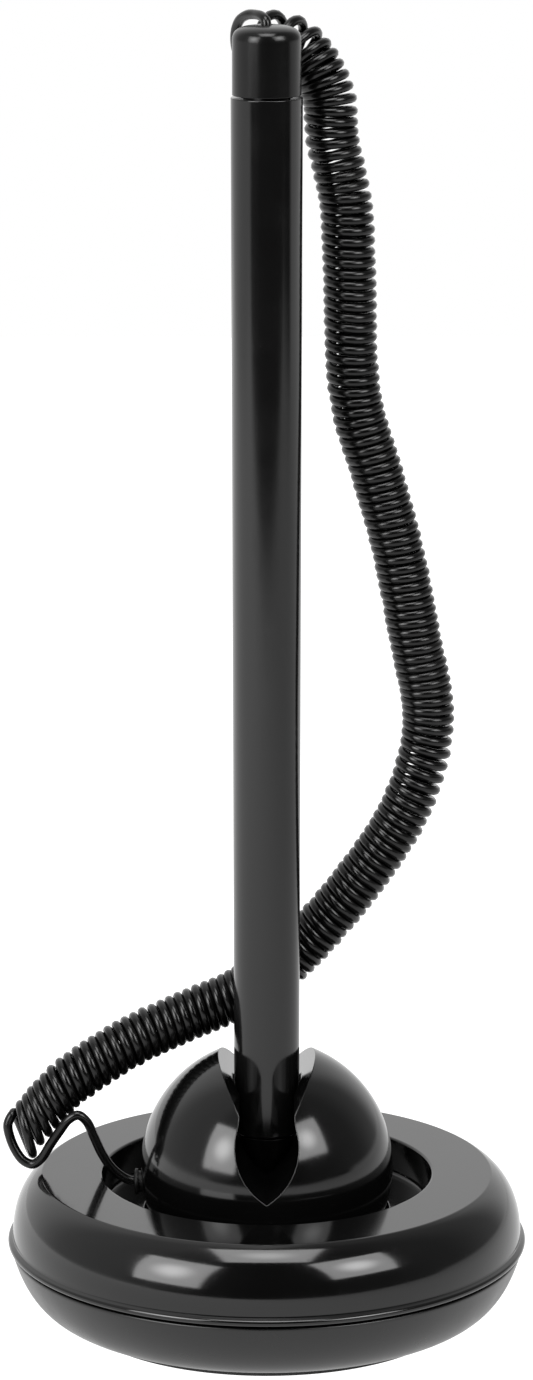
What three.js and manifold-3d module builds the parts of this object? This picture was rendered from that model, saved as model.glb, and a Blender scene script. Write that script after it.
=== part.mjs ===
// Counter pen on a coiled tether, standing in a tilting ball holder on a weighted round base.
// Millimetres, +Z up. The base's underside is z = 0 and its axis is x = y = 0. The user's side is -Y.

import * as THREE from 'three';
import { mergeVertices } from 'three/addons/utils/BufferGeometryUtils.js';
import Module from 'manifold-3d';

const wasm = await Module();
wasm.setup();

// ---------------------------------------------------------------- driving dimensions

// Clearances and small features
const fitGap = 0.3; // between pieces that touch
const freeGap = 0.5; // between pieces that move past each other
const edgeBreak = 0.3; // chamfer on turned and moulded edges
const rooted = 0.5; // how deep a boss starts inside its wall
const overrun = 1; // how far a cutting shape runs past the face it cuts

// Base
const baseDiameter = 75; // over the bead at the seam
const baseHeight = 21; // to the flat ring
const seamHeight = 10.3; // top edge of the pan
const seamBead = 0.7; // how far the cover's bead stands proud
const beadHeight = 1.1;
const shellWall = 1.8;
const shoulderWidth = 4.3; // from the flat ring's edge out to the cover's side
const wellGap = 5.55; // between the ball and the well's wall, at the equator
const wellDepth = 5.5;
const panInset = 0.5; // how much narrower the pan is than the bead
const footInset = 8; // from the pan's rim in to its flat underside
const padThickness = 1;
const padInset = 1; // from the flat underside's edge in to the pad's
const baseScrewCount = 3;
const baseScrewRadius = 1.2;
const baseScrewHeadRadius = 2;
const baseScrewHeadHeight = 1.3;
const recessDepth = 0.8;
const bossWall = 1;
const pillarWall = 1.5;
const pillarRise = 2.4; // above the pan's floor
const ballastHeight = 6.4;
const ballastInset = 3.8; // from the pan's inner wall in to the ballast

// Ball
const ballDiameter = 36.5;
const ballRise = 0.8; // of the ball's centre above the flat ring
const ballWall = 1.8;
const ballFloorDrop = 1; // below the equator
const skirtAngle = 43; // degrees below the equator at which the ball's skirt ends
const tiltAngle = 20; // degrees the ball tilts each way
const bowlWall = 1.7; // of the ball's inner bowl, which the cup carries
const bowlFlange = 1.7;
const ledgeHeight = 0.8; // under the tip cup's rim
const cupWall = 1.6;
const cupGap = 0.55; // between the cup and the ball's skirt
const cupRimAngle = 36; // degrees below the equator at which the cup ends
const pedestalRadius = 6.3;
const washerThickness = 0.5;
const clampWall = 1.4;
const clampSpread = 47.38; // degrees from its pole to the dome's inner rim
const clampScrewRadius = 1.5;
const clampHeadRadius = 2.7;
const clampHeadHeight = 1.2;
const clampSocketRadius = 1.2;
const clampSocketDepth = 0.7;
const clampNutRadius = 3.1;
const clampNutHeight = 1.5;

// Groove across the ball: half-widths at heights above the ball's centre
const grooveBelly = [4.5, 7.8];
const grooveThroat = [3.9, 11.7];
const grooveWing = [7.1, 17];

// Pen
const barrelTopRadius = 5;
const barrelLowRadius = 4.68;
const barrelWall = 1.1;
const barrelLength = 149;
const capStep = 0.2; // how much slimmer the cap is than the barrel's top
const capHeight = 9.6;
const capRounding = 1.7;
const capRoof = 2.4;
const capPlugLength = 8.5;
const noseSpigotLength = 8;
const noseStep = 0.35; // how much slimmer the nose is than the barrel
const noseTipRadius = 1.75;
const noseLength = 10.6;
const refillRadius = 1.5;
const refillWall = 0.4;
const refillRoom = 23; // how much shorter the ink tube is than the barrel
const refillOverlap = 3; // how far the ink tube reaches down into the nose
const tipRadius = 1.1;
const tipReach = 2.2; // how far the point stands out of the nose
const tipSpigotLength = 2;
const cupTipWall = 0.8;
const cupRimWidth = 1.2;

// Tether
const cordRadius = 0.65;
const coilRadius = 3.8; // outside of the coil
const anchorDrop = 2.5; // below the ball's centre
const anchorWall = 0.7;
const anchorFlangeWidth = 0.6;
const anchorStand = 0.9; // how far the bush stands out of the ball
const stopRadius = 1.1;
const stopLength = 1.6;

// Facets
const baseSegments = 36;
const ballSegments = 30;
const penSegments = 20;
const smallSegments = 12;
const coilSides = 12;
const cordSides = 8;

// ---------------------------------------------------------------- derived places

const { degToRad, radToDeg } = THREE.MathUtils;

const ballRadius = ballDiameter / 2;
const ballInside = ballRadius - ballWall;
const ballCentreHeight = baseHeight + ballRise;

const baseRadius = baseDiameter / 2;
const bodyRadius = baseRadius - seamBead;
const ridgeRadius = bodyRadius - shoulderWidth; // where the flat ring ends and the shoulder begins
const wellRadius = ballRadius + wellGap;
const wellFloor = baseHeight - wellDepth;
const throatRadius = Math.sqrt(ballRadius ** 2 - (ballCentreHeight - wellFloor) ** 2) + freeGap;
const coverBottom = seamHeight + fitGap;
const panRadius = baseRadius - panInset;
const footRadius = panRadius - footInset;
const panBottom = padThickness + fitGap;
const panFloor = panBottom + shellWall;

const cupOutside = ballInside - cupGap;
const cupInside = cupOutside - cupWall;
const bowlRadius = cupInside - fitGap;
const bowlInside = bowlRadius - bowlWall;
const ballFloor = ballCentreHeight - ballFloorDrop; // underside of the ball's solid middle
const bowlFlangeTop = ballFloor - fitGap;
const bowlFlangeBottom = bowlFlangeTop - bowlFlange;
const bowlFlangeRadius = Math.sqrt(ballInside ** 2 - (ballCentreHeight - bowlFlangeBottom) ** 2) - freeGap;
const ledgeTop = bowlFlangeBottom + ledgeHeight;
const pedestalBottom = ballCentreHeight - cupOutside - freeGap;
const pivotTop = pedestalBottom - washerThickness - 2 * fitGap;
const clampOutside = bowlInside - fitGap;
const clampInside = clampOutside - clampWall;
const clampRimRadius = clampInside * Math.sin(degToRad(clampSpread));
const clampSeat = ballCentreHeight - clampInside - 0.1; // flat that the screw's head sits on
const clampHeadTop = clampSeat + fitGap + clampHeadHeight;
const clampHole = clampScrewRadius + fitGap;

const penPoint = clampHeadTop + freeGap + cupTipWall + fitGap;
const noseBottom = penPoint + tipReach;
const noseTop = noseBottom + noseLength;
const noseRadius = barrelLowRadius - noseStep;
const barrelLowHeight = noseTop + fitGap;
const barrelTop = barrelLowHeight + barrelLength;
const barrelInside = barrelLowRadius - barrelWall;
const spigotRadius = barrelInside - fitGap;
const capRadius = barrelTopRadius - capStep;
const capBottom = barrelTop + fitGap;
const capTop = capBottom + capHeight;
const refillBottom = noseTop - refillOverlap;
const refillLength = barrelLength - refillRoom;
const tipBore = tipRadius + fitGap;
const tubeBore = refillRadius + fitGap;
const cupTopRadius = noseRadius - 0.1; // of the tip cup, under its rim
const cupRimRadius = cupTopRadius + cupRimWidth;

const screwCircle = (wellRadius + shellWall + footRadius) / 2 - 0.7;
const bossHole = baseScrewRadius + fitGap;
const bossRadius = bossHole + bossWall;
const pillarRadius = baseScrewHeadRadius + fitGap + pillarWall;
const pillarTop = panFloor + pillarRise;
const bossBottom = pillarTop + fitGap;
const screwRoof = wellFloor - overrun; // top of the hole for the screw
const screwHeadBottom = panBottom + fitGap;
const screwHeadTop = screwHeadBottom + baseScrewHeadHeight;
const anchorHeight = ballCentreHeight - anchorDrop;
const anchorRadius = cordRadius + fitGap + anchorWall;
const anchorOut = Math.sqrt(ballRadius ** 2 - anchorDrop ** 2);
const anchorReach = ballWall + 0.5; // how far the bush reaches into the ball
const cordHole = cordRadius + fitGap;

// ---------------------------------------------------------------- materials

const finish = (color, roughness, metalness = 0) =>
  new THREE.MeshStandardMaterial({ color, roughness, metalness });

const glossBlack = finish(0x121315, 0.12);
const satinBlack = finish(0x1b1c1f, 0.42);
const cordBlack = finish(0x101012, 0.22);
const nylonGrey = finish(0x8d8f92, 0.5);
const padBlack = finish(0x161616, 0.9);
const steel = finish(0x9a9c9f, 0.35, 1);
const brass = finish(0xc9a24a, 0.3, 1);
const inkBlue = finish(0x1f2d66, 0.3);

// ---------------------------------------------------------------- shape helpers

// One closed body: only positions, shared vertices merged, no collapsed faces, faces pointing out.
function closed(geometry) {
  const bare = geometry.index ? geometry.clone() : geometry;
  bare.deleteAttribute('normal');
  bare.deleteAttribute('uv');
  const merged = mergeVertices(bare, 1e-4);
  const source = merged.index.array;
  const place = merged.getAttribute('position');
  const corners = [];
  for (let i = 0; i < source.length; i += 3) {
    const [a, b, c] = [source[i], source[i + 1], source[i + 2]];
    if (a !== b && b !== c && c !== a) corners.push(a, b, c);
  }
  const [p, q, r] = [new THREE.Vector3(), new THREE.Vector3(), new THREE.Vector3()];
  let volume = 0;
  for (let i = 0; i < corners.length; i += 3) {
    p.fromBufferAttribute(place, corners[i]);
    q.fromBufferAttribute(place, corners[i + 1]);
    r.fromBufferAttribute(place, corners[i + 2]);
    volume += p.dot(q.cross(r));
  }
  if (volume < 0) {
    for (let i = 0; i < corners.length; i += 3) {
      [corners[i + 1], corners[i + 2]] = [corners[i + 2], corners[i + 1]];
    }
  }
  merged.setIndex(corners);
  return merged;
}

// A profile of [radius, height] points turned about Z.
function turned(profile, segments) {
  const points = profile.map(([radius, height]) => new THREE.Vector2(radius, height));
  return closed(new THREE.LatheGeometry(points, segments).rotateX(Math.PI / 2));
}

// A ring profile closes on itself.
const turnedRing = (profile, segments) => turned([...profile, profile[0]], segments);

// A plain rod along Z.
function rod(radius, bottom, top, segments = smallSegments) {
  return turned([[0, bottom], [radius, bottom], [radius, top], [0, top]], segments);
}

// Points of an arc about the ball's centre, angles in degrees below (-) and above (+) the equator.
function ballArc(radius, from, to, steps) {
  const points = [];
  for (let i = 0; i <= steps; i += 1) {
    const angle = degToRad(from + ((to - from) * i) / steps);
    points.push([radius * Math.cos(angle), ballCentreHeight + radius * Math.sin(angle)]);
  }
  return points;
}

// Points of a cubic curve through a profile, both ends included.
function sweep(start, pullStart, pullEnd, end, steps) {
  const ends = [start, pullStart, pullEnd, end].map(([x, y]) => new THREE.Vector2(x, y));
  return new THREE.CubicBezierCurve(...ends).getPoints(steps).map((point) => [point.x, point.y]);
}

// Degrees above (+) or below (-) the equator at which a sphere about the ball's centre meets a height.
const angleAt = (radius, height) => radToDeg(Math.asin((height - ballCentreHeight) / radius));

// The same where the sphere's lower half meets a distance from the axis.
const angleOut = (radius, outward) => -radToDeg(Math.acos(outward / radius));

// manifold-3d joins and cuts closed geometries.
function solidOf(geometry) {
  const place = geometry.getAttribute('position');
  return new wasm.Manifold(new wasm.Mesh({
    numProp: 3,
    vertProperties: new Float32Array(place.array),
    triVerts: new Uint32Array(geometry.index.array),
  }));
}

function geometryOf(solid) {
  const mesh = solid.getMesh();
  const geometry = new THREE.BufferGeometry();
  geometry.setAttribute('position', new THREE.BufferAttribute(new Float32Array(mesh.vertProperties), 3));
  geometry.setIndex(new THREE.BufferAttribute(new Uint32Array(mesh.triVerts), 1));
  return geometry;
}

// One body with others added to it, then others cut from it.
function shaped(body, { add = [], cut = [] }) {
  let solid = solidOf(body);
  for (const piece of add) solid = solid.add(solidOf(piece));
  for (const piece of cut) solid = solid.subtract(solidOf(piece));
  return geometryOf(solid);
}

// Copies of a geometry round the base's screw circle.
function roundTheScrews(geometry) {
  return Array.from({ length: baseScrewCount }, (_, i) => {
    const angle = Math.PI / 2 + (i * 2 * Math.PI) / baseScrewCount;
    return geometry.clone().translate(screwCircle * Math.cos(angle), screwCircle * Math.sin(angle), 0);
  });
}

function piece(name, geometry, material) {
  const mesh = new THREE.Mesh(geometry, material);
  mesh.name = name;
  return mesh;
}

// A smooth tube through chosen points, with flat ends.
function tube(points, radius, sides, steps) {
  const path = new THREE.CatmullRomCurve3(points.map((point) => new THREE.Vector3(...point)));
  const section = new THREE.Shape();
  for (let i = 0; i < sides; i += 1) {
    const angle = (i * 2 * Math.PI) / sides;
    const corner = [radius * Math.cos(angle), radius * Math.sin(angle)];
    if (i === 0) section.moveTo(...corner);
    else section.lineTo(...corner);
  }
  section.closePath();
  return closed(new THREE.ExtrudeGeometry(section, { steps, extrudePath: path, bevelEnabled: false }));
}

// ---------------------------------------------------------------- base

function footPad() {
  return rod(footRadius - padInset, 0, padThickness, baseSegments);
}

// Lower shell: flat foot, curved wall, a pivot boss in the middle and a pillar for each screw.
function basePan() {
  const inside = panRadius - shellWall;
  const outer = sweep(
    [footRadius, panBottom], [panRadius - 2.8, panBottom],
    [panRadius - 0.8, seamHeight - 3], [panRadius, seamHeight], 9);
  const inner = sweep(
    [inside, seamHeight], [inside - 0.8, seamHeight - 2.6],
    [footRadius + 3, panFloor], [footRadius - 1, panFloor], 7);
  const shell = turned([[0, panBottom], ...outer, ...inner, [0, panFloor]], baseSegments);
  const bossStart = panBottom + rooted;
  const nutRoom = panBottom + clampNutHeight + 2 * fitGap;
  return shaped(shell, {
    add: [
      rod(pedestalRadius + 0.4, bossStart, pivotTop, penSegments),
      ...roundTheScrews(rod(pillarRadius, bossStart, pillarTop)),
    ],
    cut: [
      rod(clampNutRadius + freeGap, 0, nutRoom),
      rod(clampHole, 0, pivotTop + overrun),
      ...roundTheScrews(rod(baseScrewHeadRadius + fitGap, 0, screwHeadTop + fitGap)),
      ...roundTheScrews(rod(bossHole, 0, pillarTop + overrun)),
    ],
  });
}

// Upper shell: flat ring, rounded shoulder, seam bead, and the well with its opening for the ball.
function baseCover() {
  const inside = bodyRadius - shellWall;
  const ringBack = baseHeight - shellWall;
  const sideTop = coverBottom + beadHeight + 0.4;
  const shoulder = sweep(
    [ridgeRadius, baseHeight], [ridgeRadius + 2, baseHeight - 1.1],
    [bodyRadius, baseHeight - 3.8], [bodyRadius, sideTop], 9);
  const lining = sweep(
    [inside, sideTop], [inside, baseHeight - 5],
    [ridgeRadius + 1.4, ringBack - 1], [ridgeRadius - 0.6, ringBack], 6);
  const bead = [
    [baseRadius, coverBottom + beadHeight], [baseRadius, coverBottom + edgeBreak],
    [baseRadius - edgeBreak, coverBottom]];
  const well = [
    [throatRadius, wellFloor - shellWall], [throatRadius, wellFloor], [wellRadius, wellFloor],
    [wellRadius, baseHeight - edgeBreak], [wellRadius + edgeBreak, baseHeight]];
  const backOfWell = [[wellRadius + shellWall, ringBack], [wellRadius + shellWall, wellFloor - shellWall]];
  const profile = [...well, ...shoulder, ...bead, [inside, coverBottom], ...lining, ...backOfWell];
  return shaped(turnedRing(profile, baseSegments), {
    add: roundTheScrews(rod(bossRadius, bossBottom, ringBack + rooted)),
    cut: roundTheScrews(rod(bossHole, bossBottom - overrun, screwRoof)),
  });
}

// Steel ring that keeps the tall pen from tipping the base, with room for the screw pillars.
function ballastRing() {
  const inside = ballRadius + 2 * freeGap;
  const outside = panRadius - shellWall - ballastInset;
  const bottom = panFloor + fitGap;
  const top = bottom + ballastHeight;
  const cornerCut = 2.4; // clears the pan's curved wall
  const ring = turnedRing([
    [inside, bottom], [outside - cornerCut, bottom], [outside, bottom + cornerCut],
    [outside, top - edgeBreak], [outside - edgeBreak, top], [inside, top],
  ], baseSegments);
  const room = Math.max(pillarRadius, bossRadius) + freeGap;
  return shaped(ring, { cut: roundTheScrews(rod(room, 0, baseHeight)) });
}

// Self-tapping screw with a cross recess, head down.
function baseScrew() {
  const point = screwRoof - fitGap;
  const pointLength = baseScrewRadius;
  const [armLength, armWidth] = [2.2, 0.6];
  const arm = (long, wide) => {
    const bar = new THREE.BoxGeometry(long, wide, 2 * recessDepth);
    return closed(bar.translate(0, 0, screwHeadBottom));
  };
  const screw = turned([
    [0, screwHeadBottom], [baseScrewHeadRadius - edgeBreak, screwHeadBottom],
    [baseScrewHeadRadius, screwHeadBottom + edgeBreak], [baseScrewHeadRadius, screwHeadTop],
    [baseScrewRadius, screwHeadTop], [baseScrewRadius, point - pointLength], [0, point],
  ], smallSegments);
  return shaped(screw, { cut: [arm(armLength, armWidth), arm(armWidth, armLength)] });
}

// ---------------------------------------------------------------- swivelling cup and its clamp

// Bowl-shaped seat that the ball's inner bowl tilts in. It turns on the pan's boss.
function socketCup() {
  return turnedRing([
    [clampHole, pedestalBottom], [pedestalRadius, pedestalBottom],
    ...ballArc(cupOutside, angleOut(cupOutside, pedestalRadius), -cupRimAngle, 6),
    ...ballArc(cupInside, -cupRimAngle, angleOut(cupInside, clampHole), 8),
  ], ballSegments);
}

function frictionWasher() {
  const bottom = pivotTop + fitGap;
  const top = bottom + washerThickness;
  const inner = clampHole + 0.4;
  const outer = pedestalRadius - 0.1;
  return turnedRing([[inner, bottom], [outer, bottom], [outer, top], [inner, top]], penSegments);
}

// Domed washer inside the ball's bowl: the screw pulls it down and it grips the bowl.
function clampDome() {
  const seatCutter = rod(clampHeadRadius + 0.4, clampSeat, clampSeat + clampHeadHeight + freeGap);
  const underside = ballArc(
    clampOutside, angleOut(clampOutside, clampHole), angleOut(clampOutside, clampRimRadius), 4);
  const top = ballArc(
    clampInside, angleOut(clampInside, clampRimRadius), angleOut(clampInside, clampHole), 4);
  return shaped(turnedRing([...underside, ...top], penSegments), { cut: [seatCutter] });
}

function clampScrew() {
  const head = clampSeat + fitGap;
  const end = panBottom + 0.2;
  const socket = new THREE.CylinderGeometry(clampSocketRadius, clampSocketRadius, 2 * clampSocketDepth, 6);
  const screw = turned([
    [0, end], [clampScrewRadius - edgeBreak, end], [clampScrewRadius, end + edgeBreak],
    [clampScrewRadius, head], [clampHeadRadius, head], [clampHeadRadius, clampHeadTop - edgeBreak],
    [clampHeadRadius - edgeBreak, clampHeadTop], [0, clampHeadTop],
  ], smallSegments);
  return shaped(screw, { cut: [closed(socket.rotateX(Math.PI / 2).translate(0, 0, clampHeadTop))] });
}

function clampNut() {
  const bottom = panBottom + fitGap;
  const hex = new THREE.CylinderGeometry(clampNutRadius, clampNutRadius, clampNutHeight, 6);
  const nut = closed(hex.rotateX(Math.PI / 2).translate(0, 0, bottom + clampNutHeight / 2));
  return shaped(nut, { cut: [rod(clampHole, 0, bottom + clampNutHeight + overrun)] });
}

// ---------------------------------------------------------------- ball

// The groove's cross-section, symmetrical about the ball's middle plane, run from front to back.
function groove() {
  const half = new THREE.CurvePath();
  const [bellyWidth, bellyHeight] = grooveBelly;
  const [throatWidth, throatHeight] = grooveThroat;
  const [wingWidth, wingHeight] = grooveWing;
  const at = (x, y) => new THREE.Vector2(x, y);
  half.add(new THREE.CubicBezierCurve(
    at(0, 0), at(bellyWidth * 0.7, bellyHeight * 0.28),
    at(bellyWidth, bellyHeight * 0.62), at(bellyWidth, bellyHeight)));
  half.add(new THREE.CubicBezierCurve(
    at(bellyWidth, bellyHeight), at(bellyWidth, bellyHeight + 1.6),
    at(throatWidth, throatHeight - 1.4), at(throatWidth, throatHeight)));
  half.add(new THREE.QuadraticBezierCurve(
    at(throatWidth, throatHeight), at(throatWidth + 0.5, throatHeight + 1), at(wingWidth, wingHeight)));
  const right = half.getPoints(5).concat([at(wingWidth + 1.5, ballRadius + 2)]);
  const left = right.slice(1).reverse().map((point) => at(-point.x, point.y));
  const section = new THREE.Shape([...right, ...left]);
  const run = ballDiameter + 4;
  const channel = new THREE.ExtrudeGeometry(section, { depth: run, bevelEnabled: false, curveSegments: 1 });
  return closed(channel.rotateX(Math.PI / 2).translate(0, run / 2, ballCentreHeight));
}

// The ball that shows: groove, pen bore, cored sides, and a skirt that goes down into the well.
function ballShell() {
  const coreRadius = ballInside - 0.4;
  const under = ballFloor - overrun;
  const outside = turned([
    [0, ballCentreHeight + ballRadius], ...ballArc(ballRadius, 90, -skirtAngle, 16).slice(1),
    ...ballArc(ballInside, -skirtAngle, angleAt(ballInside, ballFloor), 4), [0, ballFloor],
  ], ballSegments);
  const bore = rod(barrelLowRadius + freeGap, barrelLowHeight - freeGap, capTop, penSegments);
  const noseRoom = turned([
    [0, under], [noseRadius - 0.6, under], [noseRadius + fitGap, barrelLowHeight], [0, barrelLowHeight],
  ], penSegments);
  const core = turned([
    [0, under], [coreRadius, under], ...ballArc(coreRadius, 0, 90, 7).slice(0, -1),
    [0, ballCentreHeight + coreRadius],
  ], ballSegments);
  const middleWidth = 2 * (grooveWing[0] + 0.8);
  const middle = new THREE.BoxGeometry(middleWidth, ballDiameter, ballDiameter);
  const pockets = shaped(core, { cut: [closed(middle.translate(0, 0, ballCentreHeight))] });
  const anchorHole = rod(anchorRadius + fitGap, -2 * ballWall, 2 * ballWall).rotateY(Math.PI / 2);
  anchorHole.translate(-anchorOut, 0, anchorHeight);
  return shaped(outside, { cut: [groove(), bore, noseRoom, pockets, anchorHole] });
}

// Inner bowl under the ball, with the slot that lets it tilt about the clamp screw.
function ballBowl() {
  const slotHalf = (bowlRadius - bowlWall / 2) * Math.sin(degToRad(tiltAngle));
  const slotWidth = clampScrewRadius + 0.4;
  const [slotBottom, slotTop] = [ballCentreHeight - bowlRadius - overrun, clampSeat + overrun];
  const rimSeat = cupRimRadius + fitGap;
  const throat = cupTopRadius + fitGap;
  const bowl = turned([
    ...ballArc(bowlInside, -90, angleAt(bowlInside, bowlFlangeBottom), 7),
    [throat, bowlFlangeBottom], [throat, ledgeTop], [rimSeat, ledgeTop], [rimSeat, bowlFlangeTop],
    [bowlFlangeRadius, bowlFlangeTop], [bowlFlangeRadius, bowlFlangeBottom],
    ...ballArc(bowlRadius, angleAt(bowlRadius, bowlFlangeBottom), -90, 8),
  ], ballSegments);
  const slot = new THREE.BoxGeometry(2 * slotWidth, 2 * slotHalf, slotTop - slotBottom);
  const slotEnd = rod(slotWidth, slotBottom, slotTop);
  const stopRoom = rod(stopRadius + freeGap, -3, 3).rotateY(Math.PI / 2);
  return shaped(bowl, {
    cut: [
      closed(slot.translate(0, 0, (slotTop + slotBottom) / 2)),
      slotEnd.clone().translate(0, slotHalf, 0),
      slotEnd.clone().translate(0, -slotHalf, 0),
      stopRoom.translate(-ballInside, 0, anchorHeight),
    ],
  });
}

// Closed cup that the pen's nose stands in.
function tipCup() {
  const rimTop = bowlFlangeTop - 0.1;
  const rimBottom = ledgeTop + fitGap;
  const floor = penPoint - fitGap;
  const bottom = floor - cupTipWall;
  const slope = (noseRadius - noseTipRadius) / noseLength;
  const insideAt = (height) => noseTipRadius + slope * (height - noseBottom) + fitGap;
  return turned([
    [0, bottom], [tipBore + cupTipWall, bottom], [insideAt(noseBottom) + rooted, noseBottom - 0.4],
    [cupTopRadius, rimBottom - 1], [cupTopRadius, rimBottom], [cupRimRadius, rimBottom],
    [cupRimRadius, rimTop], [insideAt(rimTop), rimTop], [insideAt(noseBottom), noseBottom - fitGap],
    [tipBore, noseBottom - fitGap], [tipBore, floor], [0, floor],
  ], penSegments);
}

// Bush in the ball's left side that the tether enters by, lying along X.
function tetherAnchor() {
  const shoulder = anchorStand - 0.4;
  const flange = anchorRadius + anchorFlangeWidth;
  const bush = turnedRing([
    [cordHole, -anchorReach], [anchorRadius, -anchorReach], [anchorRadius, shoulder], [flange, shoulder],
    [flange, anchorStand - 0.1], [flange - edgeBreak, anchorStand + 0.2], [cordHole, anchorStand + 0.2],
  ], smallSegments);
  return bush.rotateY(-Math.PI / 2).translate(-anchorOut, 0, anchorHeight);
}

// Crimped stop on a tether's end, lying along Z with its mouth at z = 0.
function crimpStop() {
  return turned([
    [0, 0], [stopRadius - edgeBreak, 0], [stopRadius, edgeBreak], [stopRadius, stopLength - edgeBreak],
    [stopRadius - edgeBreak, stopLength], [0, stopLength],
  ], smallSegments);
}

// ---------------------------------------------------------------- pen

function penBarrel() {
  const [lowChamfer, topChamfer] = [0.2, 0.1];
  return turnedRing([
    [barrelInside, barrelLowHeight], [barrelLowRadius - lowChamfer, barrelLowHeight],
    [barrelLowRadius, barrelLowHeight + lowChamfer], [barrelTopRadius, barrelTop - topChamfer],
    [barrelTopRadius - topChamfer, barrelTop], [barrelInside, barrelTop],
  ], penSegments);
}

// Front cone with a spigot that plugs into the barrel and a bore for the refill.
function noseCone() {
  const spigotTop = noseTop + noseSpigotLength;
  const step = refillBottom - fitGap;
  return turnedRing([
    [tipBore, noseBottom], [noseTipRadius, noseBottom], [noseRadius, noseTop], [spigotRadius, noseTop],
    [spigotRadius, spigotTop], [tubeBore, spigotTop], [tubeBore, step], [tipBore, step],
  ], penSegments);
}

// Brass point: a small ball end, a cone, a shank in the nose and a spigot in the ink tube.
function refillTip() {
  const ballPoint = [[0, penPoint], [0.35, penPoint + 0.15], [0.45, penPoint + 0.7]];
  const shoulder = refillBottom - fitGap;
  const spigot = refillRadius - refillWall - fitGap;
  const top = refillBottom + tipSpigotLength;
  return turned([
    ...ballPoint, [tipRadius, noseBottom + 0.6], [tipRadius, shoulder],
    [spigot, shoulder], [spigot, top], [0, top],
  ], smallSegments);
}

function refillTube() {
  const inner = refillRadius - refillWall;
  const top = refillBottom + refillLength;
  return turnedRing([
    [inner, refillBottom], [refillRadius, refillBottom], [refillRadius, top], [inner, top],
  ], smallSegments);
}

// Round-shouldered end cap, plugged into the barrel, with a hole in its top for the tether.
function penCap() {
  const chamber = stopRadius + 0.6;
  const plugBottom = barrelTop - capPlugLength;
  const roof = capTop - capRoof;
  const shoulder = sweep(
    [capRadius, capTop - capRounding], [capRadius, capTop - 0.5],
    [capRadius - 0.6, capTop - 0.1], [capRadius - capRounding - 0.3, capTop], 5);
  return turnedRing([
    [chamber, plugBottom], [spigotRadius, plugBottom], [spigotRadius, capBottom],
    [capRadius, capBottom], ...shoulder,
    [cordHole, capTop], [cordHole, roof], [chamber, roof],
  ], penSegments);
}

// ---------------------------------------------------------------- tether

// The coil's middle line, from behind the cap, down behind the pen and round to its left.
const coilRoute = [
  [-2.6, 9.6, 183.6], [0.9, 9.6, 183.9], [3.6, 9.6, 183.2], [6.4, 9.6, 180], [8.4, 9.6, 175.2],
  [9.2, 9.6, 169.4], [11, 9.7, 161], [11.7, 9.9, 150], [12, 10, 138], [12.9, 10.1, 131],
  [15.6, 10.2, 122], [18.5, 10.3, 111.5], [21.3, 10.3, 97.5], [23.2, 10.2, 87], [22.4, 10.1, 79.5],
  [19.5, 10, 71.5], [14.3, 9.8, 63.2], [8.3, 9.6, 55.6], [2.6, 9.5, 49.6], [-3.8, 9.4, 45.1],
  [-11, 8.4, 42.1], [-17.6, 6.7, 39.6], [-23.5, 5, 36.6], [-29, 3.7, 33], [-33.2, 2.9, 28.6],
];

// The uncoiled cord, from the coil's last turn over the well's edge into the ball.
const strandRoute = [
  [-36.7, 1.8, 27.6], [-36.3, 1.4, 25.4], [-35.4, 0.9, 23.2], [-34.1, 0.5, 22], [-32.6, 0.1, 23],
  [-31.3, -0.3, 25], [-29.9, -0.7, 27.2], [-28.6, -1, 29], [-27.2, -1, 29.7], [-26, -0.8, 28.7],
  [-25, -0.5, 26.4], [-23.8, -0.3, 23.6], [-22.4, -0.1, 21.4], [-20.8, 0, 20], [-19.4, 0, 19.4],
  [-17.8, 0, 19.3], [-15.9, 0, 19.3],
];

// The short lead out of the cap's top, bending back to the coil's first turn.
const leadRoute = [
  [0, 0, 183.9], [0, 0, 185.6], [-0.1, 0.1, 186.9], [-0.5, 1, 187.7], [-0.9, 2.6, 187.9],
  [-1.3, 4.4, 187.6], [-1.6, 5.8, 187.1],
];

// ---------------------------------------------------------------- assembly

const base = new THREE.Group();
base.add(
  piece('foot_pad', footPad(), padBlack),
  piece('base_pan', basePan(), satinBlack),
  piece('base_cover', baseCover(), glossBlack),
  piece('ballast_ring', ballastRing(), steel),
  piece('friction_washer', frictionWasher(), padBlack),
);
roundTheScrews(baseScrew()).forEach((screw, i) => base.add(piece(`base_screw_${i + 1}`, screw, steel)));

const swivel = new THREE.Group();
swivel.add(
  piece('socket_cup', socketCup(), nylonGrey),
  piece('clamp_dome', clampDome(), steel),
  piece('clamp_screw', clampScrew(), steel),
  piece('clamp_nut', clampNut(), steel),
);

const ball = new THREE.Group();
const lowerStop = crimpStop().rotateY(Math.PI / 2);
lowerStop.translate(fitGap - anchorOut + anchorReach, 0, anchorHeight);
ball.add(
  piece('ball_shell', ballShell(), glossBlack),
  piece('ball_bowl', ballBowl(), satinBlack),
  piece('tip_cup', tipCup(), nylonGrey),
  piece('tether_anchor', tetherAnchor(), satinBlack),
  piece('tether_stop_lower', lowerStop, steel),
  piece('tether_strand', tube(strandRoute, cordRadius, cordSides, 40), cordBlack),
);

const pen = new THREE.Group();
const upperStop = crimpStop().rotateX(Math.PI);
upperStop.translate(0, 0, capTop - capRoof - fitGap);
pen.add(
  piece('pen_barrel', penBarrel(), glossBlack),
  piece('pen_cap', penCap(), glossBlack),
  piece('nose_cone', noseCone(), satinBlack),
  piece('refill_tube', refillTube(), inkBlue),
  piece('refill_tip', refillTip(), brass),
  piece('tether_stop_upper', upperStop, steel),
  piece('tether_lead', tube(leadRoute, cordRadius, cordSides, 12), cordBlack),
  piece('tether_coil', tube(coilRoute, coilRadius, coilSides, 64), cordBlack),
);

const counterPen = new THREE.Group();
counterPen.add(base, swivel, ball, pen);

export default counterPen;
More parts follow.
